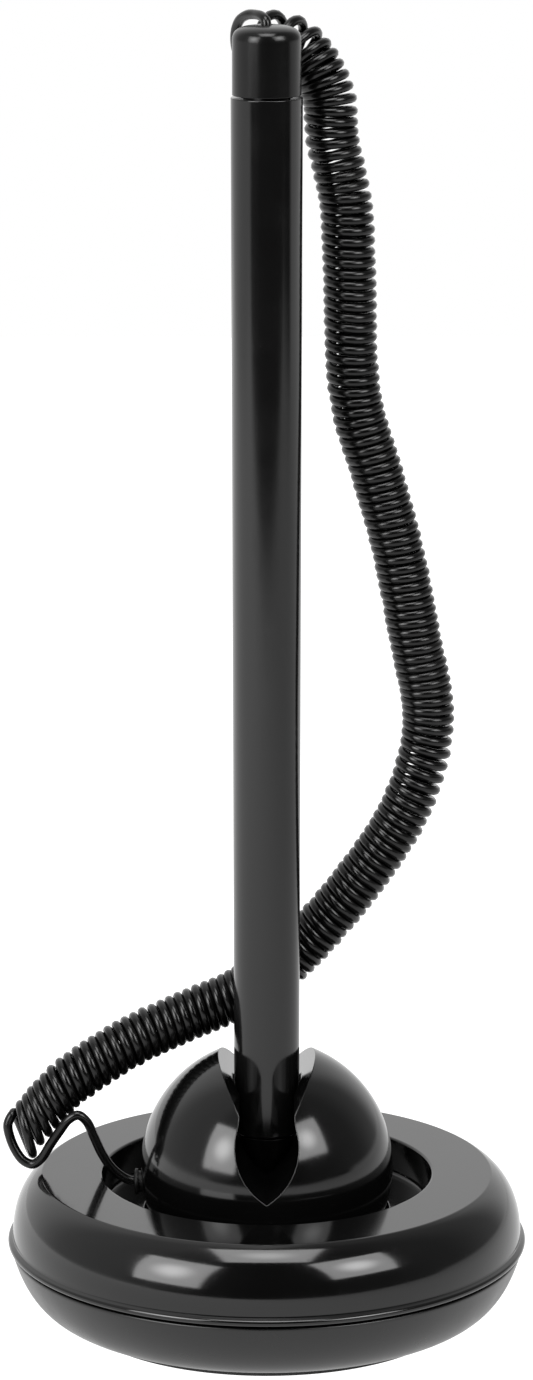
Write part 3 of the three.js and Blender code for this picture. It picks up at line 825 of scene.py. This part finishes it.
@dataclass
class RoundBase:
    """Weighted base: foot pad, satin pan, and gloss cover with a flat ring round the ball's well."""

    radius: float = 37.5
    height: float = 21.0
    body_radius: float = 36.8
    ridge_radius: float = 32.5
    well_radius: float = 23.8
    well_floor: float = 15.5
    throat_radius: float = 17.63
    wall: float = 1.8
    cover_bottom: float = 10.6
    bead_height: float = 1.1
    bead_radius: float = 0.5
    bead_fillet: float = 0.4
    bead_flare: Point2 = (0.06, 0.12)
    bead_flare_top: float = 0.35
    bead_sweep: float = 72.0
    bead_foot: float = 0.6
    shoulder_pull: Point2 = (2.0, 1.1)
    shoulder_fall: float = 3.8
    cover_lining_pull: Point2 = (1.4, 1.0)
    cover_lining_fall: float = 5.0
    cover_lining_end: float = 0.6
    ridge_rounding: float = 0.5
    mouth_rounding: float = 0.4
    throat_rounding: float = 0.25
    floor_rounding: float = 0.8
    pan_radius: float = 37.0
    pan_top: float = 10.3
    pan_bottom: float = 1.3
    rim_rounding: float = 0.25
    belly_reach: float = 2.8
    belly_lean: Point2 = (0.8, 3.0)
    pan_lining_lean: Point2 = (0.8, 2.6)
    pan_lining_foot: Point2 = (3.0, 1.0)
    foot_radius: float = 29.0
    foot_rounding: float = 0.6
    foot_hole: float = 3.8
    pad_radius: float = 28.0
    pad_thickness: float = 1.0
    pad_rounding: float = 0.12
    segments: int = 288

    def pad(self) -> bpy.types.Object:
        """The foam pad under the foot."""
        edge = softened([
            (0.0, 0.0, 0), (self.pad_radius, 0.0, self.pad_rounding),
            (self.pad_radius, self.pad_thickness, self.pad_rounding), (0.0, self.pad_thickness, 0),
        ])
        return turned("pad_skin", edge, self.segments, ring=False)

    def pan(self) -> bpy.types.Object:
        """The lower shell, with its rolled rim and curved wall."""
        inside = self.pan_radius - self.wall
        lining = self.pan_bottom + self.wall
        rim_middle = (self.pan_radius - self.rim_rounding, self.pan_top - self.rim_rounding)
        (lean, fall), (lining_lean, lining_fall) = self.belly_lean, self.pan_lining_lean
        foot_pull, foot_end = self.pan_lining_foot
        outer = bezier(
            (self.foot_radius, self.pan_bottom), (self.pan_radius - self.belly_reach, self.pan_bottom),
            (self.pan_radius - lean, self.pan_top - fall), (self.pan_radius, rim_middle[1]), 28)
        rim = arc(rim_middle, self.rim_rounding, 0, 90, 5)
        inner = bezier(
            (inside, self.pan_top), (inside - lining_lean, self.pan_top - lining_fall),
            (self.foot_radius + foot_pull, lining), (self.foot_radius - foot_end, lining), 12)
        profile = [
            (self.foot_hole, self.pan_bottom), (self.foot_radius - self.foot_rounding, self.pan_bottom),
            *outer, *rim[1:], *inner, (self.foot_hole, lining),
        ]
        return turned("pan_skin", profile, self.segments)

    def cover(self) -> bpy.types.Object:
        """The upper shell: ring, shoulder, seam bead and well."""
        inside = self.body_radius - self.wall
        back = self.height - self.wall
        bead_top = self.cover_bottom + self.bead_height
        side_top = bead_top + self.bead_fillet
        pull_out, pull_down = self.shoulder_pull
        lining_out, lining_down = self.cover_lining_pull
        shoulder = bezier(
            (self.ridge_radius, self.height), (self.ridge_radius + pull_out, self.height - pull_down),
            (self.body_radius, self.height - self.shoulder_fall), (self.body_radius, side_top), 36)[3:]
        ridge = softened([
            (self.well_radius + 3, self.height, 0), (self.ridge_radius, self.height, self.ridge_rounding),
            (*shoulder[0], 0),
        ])[1:-1]
        lining = bezier(
            (inside, side_top), (inside, self.height - self.cover_lining_fall),
            (self.ridge_radius + lining_out, back - lining_down),
            (self.ridge_radius - self.cover_lining_end, back), 12)
        bead_middle = (self.radius - self.bead_radius, self.cover_bottom + self.bead_height / 2)
        flare_out, flare_up = self.bead_flare
        bead = [
            (self.body_radius, bead_top + self.bead_flare_top),
            (self.body_radius + flare_out, bead_top + flare_up),
            *arc(bead_middle, self.bead_radius, self.bead_sweep, -self.bead_sweep, 12),
            (self.radius - self.bead_foot, self.cover_bottom),
        ]
        mouth = softened([
            (self.well_radius, self.well_floor + 1, 0), (self.well_radius, self.height, self.mouth_rounding),
            (self.ridge_radius, self.height, 0),
        ])[1:-1]
        under = self.well_floor - self.wall
        throat = softened([
            (self.throat_radius, under, 0), (self.throat_radius, self.well_floor, self.throat_rounding),
            (self.well_radius, self.well_floor, self.floor_rounding), (self.well_radius, self.height, 0),
        ])[:-1]
        outside_well = self.well_radius + self.wall
        profile = [
            *throat, *mouth, *ridge, *shoulder, *bead, (inside, self.cover_bottom), *lining,
            (outside_well, back), (outside_well, under),
        ]
        return turned("cover_skin", profile[::-1], self.segments)

    def build(self, wardrobe: Wardrobe) -> None:
        """Make and dress the base.

        Args:
            wardrobe: The finishes.
        """
        wardrobe.fit(self.pad(), "foot_pad", Body.BASE, Slot.PAD)
        wardrobe.fit(self.pan(), "base_pan", Body.BASE, Slot.SATIN)
        wardrobe.fit(self.cover(), "base_cover", Body.BASE, Slot.GLOSS)
        wardrobe.dress_nodes({
            "ballast_ring": Slot.STEEL, "friction_washer": Slot.PAD,
            "base_screw_1": Slot.STEEL, "base_screw_2": Slot.STEEL, "base_screw_3": Slot.STEEL,
        })


# ---------------- ball and its swivel


@dataclass
class BallHolder:
    """The grooved ball that the pen stands in, its bush for the cord, and what it turns and tilts on.

    The groove's half outline runs from its bottom out to the belly, in to the throat and out to the wing,
    in curves whose handles are the spread, rise, pulls and push. A face of the cut ball belongs to its
    round skin if it lies within skin_play of the radius and faces out by skin_facing or more.
    """

    radius: float = 18.25
    inside: float = 16.45
    centre: float = 21.8
    floor: float = 20.8
    skirt: float = 43.0
    belly: Point2 = (4.5, 7.8)
    throat: Point2 = (3.9, 11.7)
    wing: Point2 = (7.1, 17.0)
    belly_spread: Point2 = (0.7, 0.28)
    belly_rise: float = 0.62
    throat_pulls: Point2 = (1.6, 1.4)
    wing_pull: Point2 = (0.33, 0.67)
    wing_push: Point2 = (1.4, 2.43)
    wing_overrun: Point2 = (1.5, 2.0)
    groove_overrun: float = 3.0
    bore_radius: float = 5.18
    bore_bottom: float = 26.8
    nose_room: Point2 = (4.63, 3.73)
    nose_room_heights: Point2 = (27.3, 19.0)
    bush_hole: float = 1.9
    bush_out: float = 18.08
    bush_height: float = 19.3
    bush_radius: float = 1.6
    bush_reach: float = 2.3
    bush_collar: float = 0.35
    collar_back: float = 0.5
    collar_front: float = 1.0
    mouth_width: float = 0.3
    mouth_front: float = 1.1
    mouth_back: float = 0.6
    skin_play: float = 0.08
    skin_facing: float = 0.97
    tool_reach: float = 4.0
    cord_hole: float = 0.78

    def groove(self) -> bpy.types.Object:
        """The channel that runs across the ball from front to back, as a cutting solid."""
        (bx, bz), (tx, tz), (wx, wz) = self.belly, self.throat, self.wing
        (spread_x, spread_z), (up, down) = self.belly_spread, self.throat_pulls
        (pull_x, pull_z), (push_x, push_z) = self.wing_pull, self.wing_push
        over_x, over_z = self.wing_overrun
        half = bezier((0, 0), (bx * spread_x, bz * spread_z), (bx, bz * self.belly_rise), (bx, bz), 18)
        half += bezier((bx, bz), (bx, bz + up), (tx, tz - down), (tx, tz), 12)[1:]
        step = bezier((tx, tz), (tx + pull_x, tz + pull_z), (tx + push_x, tz + push_z), (wx, wz), 12)
        half += step[1:] + [(wx + over_x, self.radius + over_z)]
        outline = half + [(-x, z) for x, z in reversed(half[1:])]
        run = self.radius + self.groove_overrun
        points = [(x, y, z + self.centre) for y in (-run, run) for x, z in outline]
        count = len(outline)
        faces = [tuple(range(count)), tuple(range(count, 2 * count))[::-1]]
        faces += [(i, i + count, (i + 1) % count + count, (i + 1) % count) for i in range(count)]
        return mesh_object("groove_tool", np.array(points) * MM, faces)

    def side_hole(self) -> bpy.types.Object:
        """The hole for the cord's bush, as a cutting solid lying along X."""
        reach = self.tool_reach
        profile = [(0, -reach), (self.bush_hole, -reach), (self.bush_hole, reach), (0, reach)]
        hole = turned("bush_tool", profile, 48, ring=False)
        hole.rotation_euler = (0, math.pi / 2, 0)
        hole.location = Vector((-self.bush_out, 0, self.bush_height)) * MM
        bpy.context.view_layer.update()
        return hole

    def shell(self) -> bpy.types.Object:
        """The ball that shows, with its groove, pen seat and bush hole cut in it."""
        centre = (0.0, self.centre)
        dip = math.degrees(math.asin((self.floor - self.centre) / self.inside))
        profile = [
            *arc(centre, self.inside, dip, -self.skirt, 16),
            *arc(centre, self.radius, -self.skirt, 90, 120),
        ]
        profile = [(0.0, self.floor), *profile[:-1], (0.0, self.centre + self.radius)]
        ball = turned("ball_skin", profile, 240, ring=False)
        clear = self.centre + 2 * self.radius
        wide = self.bore_radius
        well = [(0, self.bore_bottom), (wide, self.bore_bottom), (wide, clear), (0, clear)]
        bore = turned("bore_tool", well, 96, ring=False)
        (high, low), (top, bottom) = self.nose_room, self.nose_room_heights
        nose = turned("nose_tool", [(0, bottom), (low, bottom), (high, top), (0, top)], 96, ring=False)
        cut(ball, [self.groove(), bore, nose, self.side_hole()])
        self.true_up(ball.data)
        return ball

    def true_up(self, mesh: bpy.types.Mesh) -> None:
        """Give the cut ball the round form's own normals, so that it mirrors cleanly up to each edge.

        Args:
            mesh: The cut ball's mesh, changed in place.
        """
        mesh.polygons.foreach_set("use_smooth", [True] * len(mesh.polygons))
        mesh.set_sharp_from_angle(angle=math.radians(28))
        mesh.update()
        middle = Vector((0, 0, self.centre)) * MM
        normals = [tuple(corner.vector) for corner in mesh.corner_normals]
        for face in mesh.polygons:
            out = face.center - middle
            if abs(out.length - self.radius * MM) > self.skin_play * MM:
                continue
            if face.normal.dot(out.normalized()) < self.skin_facing:
                continue
            for corner in face.loop_indices:
                spot = mesh.vertices[mesh.loops[corner].vertex_index].co
                normals[corner] = tuple((spot - middle).normalized())
        mesh.normals_split_custom_set(normals)

    def bush(self) -> bpy.types.Object:
        """The bush in the ball's left side that the cord enters by."""
        collar = self.bush_radius + self.bush_collar
        profile = softened([
            (self.cord_hole, -self.bush_reach, 0), (self.bush_radius, -self.bush_reach, 0.1),
            (self.bush_radius, self.collar_back, 0), (collar, self.collar_back, 0.15),
            (collar, self.collar_front, 0.35), (self.cord_hole + self.mouth_width, self.mouth_front, 0.3),
            (self.cord_hole, self.mouth_back, 0.1),
        ])
        bush = turned("bush_skin", profile, 64)
        bush.rotation_euler = (0, -math.pi / 2, 0)
        bush.location = Vector((-self.bush_out, 0, self.bush_height)) * MM
        bpy.context.view_layer.update()
        bush.data.transform(bush.matrix_world)
        bush.matrix_world.identity()
        return bush

    def build(self, wardrobe: Wardrobe) -> None:
        """Make and dress the ball and dress its works.

        Args:
            wardrobe: The finishes.
        """
        wardrobe.fit(self.shell(), "ball_shell", Body.BALL, Slot.GLOSS, wardrobe.ball)
        wardrobe.fit(self.bush(), "tether_anchor", Body.BALL, Slot.SATIN, wardrobe.bush)
        wardrobe.dress_nodes({
            "ball_bowl": Slot.SATIN, "tip_cup": Slot.NYLON, "tether_stop_lower": Slot.STEEL,
            "socket_cup": Slot.NYLON, "clamp_dome": Slot.STEEL, "clamp_screw": Slot.STEEL,
            "clamp_nut": Slot.STEEL,
        })


# ---------------- pen


@dataclass
class CounterPen:
    """The pen: tapered barrel, round-shouldered cap and nose, with its refill inside."""

    low_radius: float = 4.68
    top_radius: float = 5.0
    wall: float = 1.1
    low_height: float = 27.3
    top_height: float = 176.3
    cap_radius: float = 4.8
    cap_bottom: float = 176.6
    cap_top: float = 186.2
    cap_rounding: float = 2.1
    cap_roof: float = 2.4
    plug_length: float = 8.5
    shoulder_run: float = 0.5
    shoulder_drop: float = 0.75
    shoulder_push: Point2 = (0.75, 0.2)
    crown: float = 0.08
    crown_pull: Point2 = (0.5, 0.05)
    crown_push: float = 0.7
    hole_lip: Point2 = (0.12, 0.06)
    cord_hole: float = 0.78
    chamber: float = 1.7
    spigot_play: float = 0.3
    nose_step: float = 0.35
    nose_tip: float = 1.75
    nose_bottom: float = 16.4
    nose_top: float = 27.0
    spigot_length: float = 8.0
    tip_bore: float = 1.4
    tube_bore: float = 1.8
    tube_step: float = 23.7
    segments: int = 160

    def spigot(self) -> float:
        """Radius of the plugs that go into the barrel."""
        return self.low_radius - self.wall - self.spigot_play

    def barrel(self) -> bpy.types.Object:
        """The tapered barrel."""
        bore = self.low_radius - self.wall
        profile = softened([
            (bore, self.low_height, 0.1), (self.low_radius, self.low_height, 0.25),
            (self.top_radius, self.top_height, 0.12), (bore, self.top_height, 0.1),
        ])
        return turned("barrel_skin", profile, self.segments)

    def cap(self) -> bpy.types.Object:
        """The end cap, its top slightly domed, with the cord's hole in the middle."""
        roof = self.cap_top - self.cap_roof
        crown_height = self.cap_top + self.crown
        flat_radius = self.cap_radius - self.cap_rounding - self.shoulder_run
        (push_out, push_down), (pull_in, pull_up) = self.shoulder_push, self.crown_pull
        lip_out, lip_down = self.hole_lip
        shoulder = bezier(
            (self.cap_radius, self.cap_top - self.cap_rounding),
            (self.cap_radius, self.cap_top - self.shoulder_drop),
            (self.cap_radius - push_out, self.cap_top - push_down), (flat_radius, self.cap_top), 24)
        crown = bezier(
            (flat_radius, self.cap_top), (flat_radius - pull_in, self.cap_top + pull_up),
            (self.cord_hole + self.crown_push, crown_height), (self.cord_hole + lip_out, crown_height), 6)
        seam = softened([
            (self.spigot(), self.cap_bottom, 0), (self.cap_radius, self.cap_bottom, 0.1),
            (self.cap_radius, self.cap_top - self.cap_rounding, 0),
        ])
        plug = self.top_height - self.plug_length
        profile = [
            (self.chamber, plug), (self.spigot(), plug), *seam[:-1], *shoulder, *crown[1:],
            (self.cord_hole, self.cap_top - lip_down), (self.cord_hole, roof), (self.chamber, roof),
        ]
        return turned("cap_skin", profile, self.segments)

    def nose(self) -> bpy.types.Object:
        """The nose cone that stands in the ball's cup."""
        shoulder = self.low_radius - self.nose_step
        profile = softened([
            (self.tip_bore, self.nose_bottom, 0), (self.nose_tip, self.nose_bottom, 0.12),
            (shoulder, self.nose_top, 0.12), (self.spigot(), self.nose_top, 0),
            (self.spigot(), self.nose_top + self.spigot_length, 0.2),
            (self.tube_bore, self.nose_top + self.spigot_length, 0.1), (self.tube_bore, self.tube_step, 0),
            (self.tip_bore, self.tube_step, 0),
        ])
        return turned("nose_skin", profile, 96)

    def build(self, wardrobe: Wardrobe) -> None:
        """Make and dress the pen.

        Args:
            wardrobe: The finishes.
        """
        wardrobe.fit(self.barrel(), "pen_barrel", Body.PEN, Slot.GLOSS, wardrobe.barrel)
        wardrobe.fit(self.cap(), "pen_cap", Body.PEN, Slot.GLOSS, wardrobe.cap)
        wardrobe.fit(self.nose(), "nose_cone", Body.PEN, Slot.SATIN)
        wardrobe.dress_nodes({
            "refill_tube": Slot.INK, "refill_tip": Slot.BRASS, "tether_stop_upper": Slot.STEEL,
        })


# ---------------- studio


@dataclass(frozen=True)
class Softbox:
    """A square soft light, brighter in its middle, aimed at the middle of the object.

    Its azimuth is 0 towards the user and 90 to the right. The edges of its core and of its even glow are
    shares of its side, out from its middle.
    """

    name: str
    azimuth: float
    elevation: float
    width: float
    height: float
    glow: float
    core: float
    core_edge: float = 0.05
    glow_edge: float = 0.38
    power: float = 4.0
    distance: float = 1.0
    aim: Point3 = (0.0, 0.0, 0.06)

    def build(self) -> None:
        """Make the light."""
        data = bpy.data.lights.new(self.name, "AREA")
        data.shape = "RECTANGLE"
        data.size = self.width
        data.size_y = self.height
        data.energy = self.power * self.width * self.height
        data.use_nodes = True
        kit = NodeKit(data.node_tree)
        middle = kit.node("ShaderNodeVectorMath")
        middle.operation = "DISTANCE"
        kit.feed(middle.inputs[0], kit.node("ShaderNodeNewGeometry").outputs["Parametric"])
        kit.feed(middle.inputs[1], (0.5, 0.5, 0))
        out_from = middle.outputs["Value"]
        strength = kit.span(out_from, self.core_edge, self.glow_edge, self.core, self.glow, "SMOOTHSTEP")
        kit.feed(kit.tree.nodes["Emission"].inputs["Strength"], strength)
        light = bpy.data.objects.new(self.name, data)
        turn, rise = math.radians(self.azimuth), math.radians(self.elevation)
        out = Vector((math.sin(turn) * math.cos(rise), -math.cos(turn) * math.cos(rise), math.sin(rise)))
        light.location = Vector(self.aim) + out * self.distance
        light.rotation_euler = out.to_track_quat("Z", "Y").to_euler()
        light.visible_camera = False
        bpy.context.scene.collection.objects.link(light)


@dataclass
class Studio:
    """Pale floor glowing with painted light, brighter on the left, a white backdrop, three softboxes, and a
    room that is dark on the camera's side.

    The room's brightness is given by direction in degrees, above and below the horizon.
    """

    floor_width: float = 1.6
    floor_front: float = -0.54
    floor_back: float = 0.9
    painted_light_fade: float = 0.3
    left_floor_painted_light: float = 1.3
    right_floor_painted_light: float = 0.72
    seen_lift: float = 0.25
    softboxes: tuple[Softbox, ...] = (
        Softbox("softbox_left", -45, 25, 0.58, 0.70, 4.6, 10.0),
        Softbox("softbox_right", 46, 34, 0.56, 0.56, 4.2, 9.5),
        Softbox("softbox_top", 0, 70, 0.58, 0.54, 4.4, 7.0),
    )
    horizon: float = 0.03
    room: tuple[Point2, ...] = (
        (-180, 1.12), (-135, 1.0), (-105, 0.6), (-75, 0.55), (-50, 0.3), (-24, 0.04), (0, 0.01), (24, 0.02),
        (50, 0.08), (90, 0.18), (125, 0.35), (150, 0.95), (180, 1.12),
    )
    below: tuple[Point2, ...] = (
        (-180, 1.0), (-60, 1.0), (-47, 0.0), (76, 0.0), (90, 1.0), (180, 1.0),
    )

    def floor(self) -> None:
        """The pale floor, glowing with painted light that is brighter on its left than on its right."""
        half = self.floor_width / 2
        corners = [
            (-half, self.floor_front, 0), (half, self.floor_front, 0),
            (half, self.floor_back, 0), (-half, self.floor_back, 0),
        ]
        floor = mesh_object("floor", np.array(corners), [(0, 1, 2, 3)])
        shader = Shader("floor_paper")
        across = shader.node("ShaderNodeSeparateXYZ", Vector=shader.place).outputs["X"]
        fibre = shader.span(shader.noise(1.2, 4), 0.3, 0.7, 0.98, 1.02)
        # Painted light: the floor's glow is brighter on the left and dimmer on the right.
        lit = shader.span(across, -self.painted_light_fade, self.painted_light_fade, self.left_floor_painted_light, self.right_floor_painted_light)
        seen = shader.node("ShaderNodeLightPath").outputs["Is Camera Ray"]
        glow = shader.span(seen, 0, 1, 0, self.seen_lift)
        strength = shader.sums("ADD", shader.sums("MULTIPLY", lit, fibre), glow)
        shader.set(
            Base_Color=grey(0.1), Roughness=0.9, Specular_IOR_Level=0.0,
            Emission_Color=(1, 1, 1, 1), Emission_Strength=strength)
        floor.data.materials.append(shader.material)

    def round_room(
        self, kit: NodeKit, bearing: bpy.types.NodeSocket, stops: Sequence[Point2],
    ) -> bpy.types.NodeSocket:
        """The room's brightness by direction.

        Args:
            kit: The world's nodes.
            bearing: The direction, from 0 behind the object round to 1.
            stops: (degrees, brightness) pairs, with 0 towards the user and 90 to the right.

        Returns:
            The brightness.
        """
        made = kit.node("ShaderNodeValToRGB", Fac=bearing)
        made.color_ramp.interpolation = "EASE"
        while len(made.color_ramp.elements) < len(stops):
            made.color_ramp.elements.new(0.5)
        for element, (degrees, value) in zip(made.color_ramp.elements, stops):
            element.position = (degrees + 180) / 360
            element.color = grey(value)
        return made.outputs["Color"]

    def surroundings(self) -> None:
        """The room round the object, white where it is the backdrop."""
        world = bpy.data.worlds.new("room")
        bpy.context.scene.world = world
        world.use_nodes = True
        kit = NodeKit(world.node_tree)
        kit.tree.nodes.clear()
        view = kit.node("ShaderNodeTexCoord").outputs["Generated"]
        parts = kit.node("ShaderNodeSeparateXYZ", Vector=view).outputs
        turn = kit.sums("ARCTAN2", parts["X"], kit.sums("MULTIPLY", parts["Y"], -1))
        bearing = kit.span(turn, -math.pi, math.pi, 0, 1)
        above = self.round_room(kit, bearing, self.room)
        under = self.round_room(kit, bearing, self.below)
        height = kit.span(parts["Z"], -self.horizon, self.horizon, 0, 1)
        seen = kit.node("ShaderNodeLightPath").outputs["Is Camera Ray"]
        colour = kit.blend(seen, kit.blend(height, under, above), grey(1))
        background = kit.node("ShaderNodeBackground", Color=colour)
        kit.node("ShaderNodeOutputWorld", Surface=background.outputs[0])

    def build(self) -> None:
        """Make the studio."""
        self.floor()
        self.surroundings()
        for softbox in self.softboxes:
            softbox.build()
        bpy.context.scene.view_settings.view_transform = "Standard"


def main() -> None:
    """Build the camera and the cord, then the base, the ball, the pen and the studio."""
    logging.basicConfig(level=logging.INFO, format="%(name)s: %(message)s")
    wardrobe = Wardrobe()
    Viewpoint().build()
    Tether().build(wardrobe)
    RoundBase().build(wardrobe)
    BallHolder().build(wardrobe)
    CounterPen().build(wardrobe)
    Studio().build()


if __name__ == "__main__":
    main()
